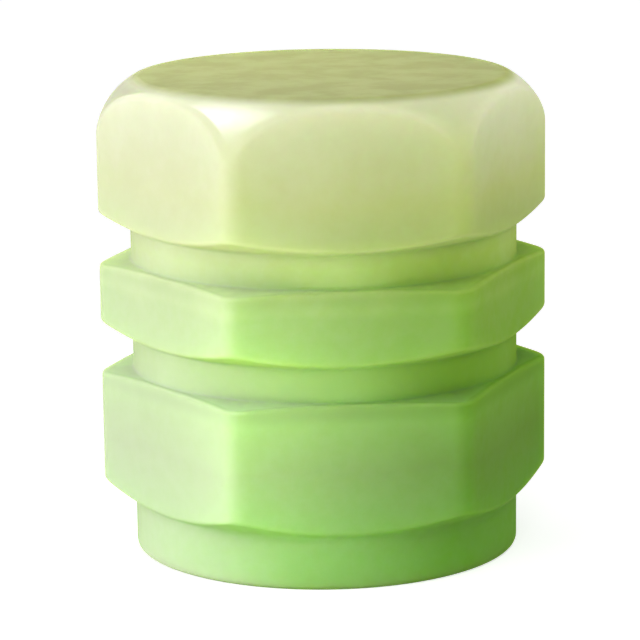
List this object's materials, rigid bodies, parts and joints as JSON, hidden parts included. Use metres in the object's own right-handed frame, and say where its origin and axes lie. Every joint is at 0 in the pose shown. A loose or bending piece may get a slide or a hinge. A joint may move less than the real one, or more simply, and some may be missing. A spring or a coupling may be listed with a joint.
{
  "type": "tyre valve cap",
  "caption": "Hexagonal moulded plastic valve cap with grooved bands, a domed shoulder, a round collar and a blind threaded bore with a rubber sealing washer.",
  "frame": {"origin": "centre of the open mouth, in the plane of the rim that the cap stands on", "axes": "+Z along the cap's axis, from the mouth to the flat top; -Y out of the middle of one flat of the hexagon"},
  "size_m": [0.0118, 0.0104, 0.0126],
  "materials": {
    "luminous_plastic": "waxy satin, pale cream green at the top running to a fuller green at the mouth",
    "seal_rubber": "matt black rubber"
  },
  "bodies": {
    "root": {"cap_body": "luminous_plastic", "sealing_washer": "seal_rubber"}
  },
  "joints": []
}
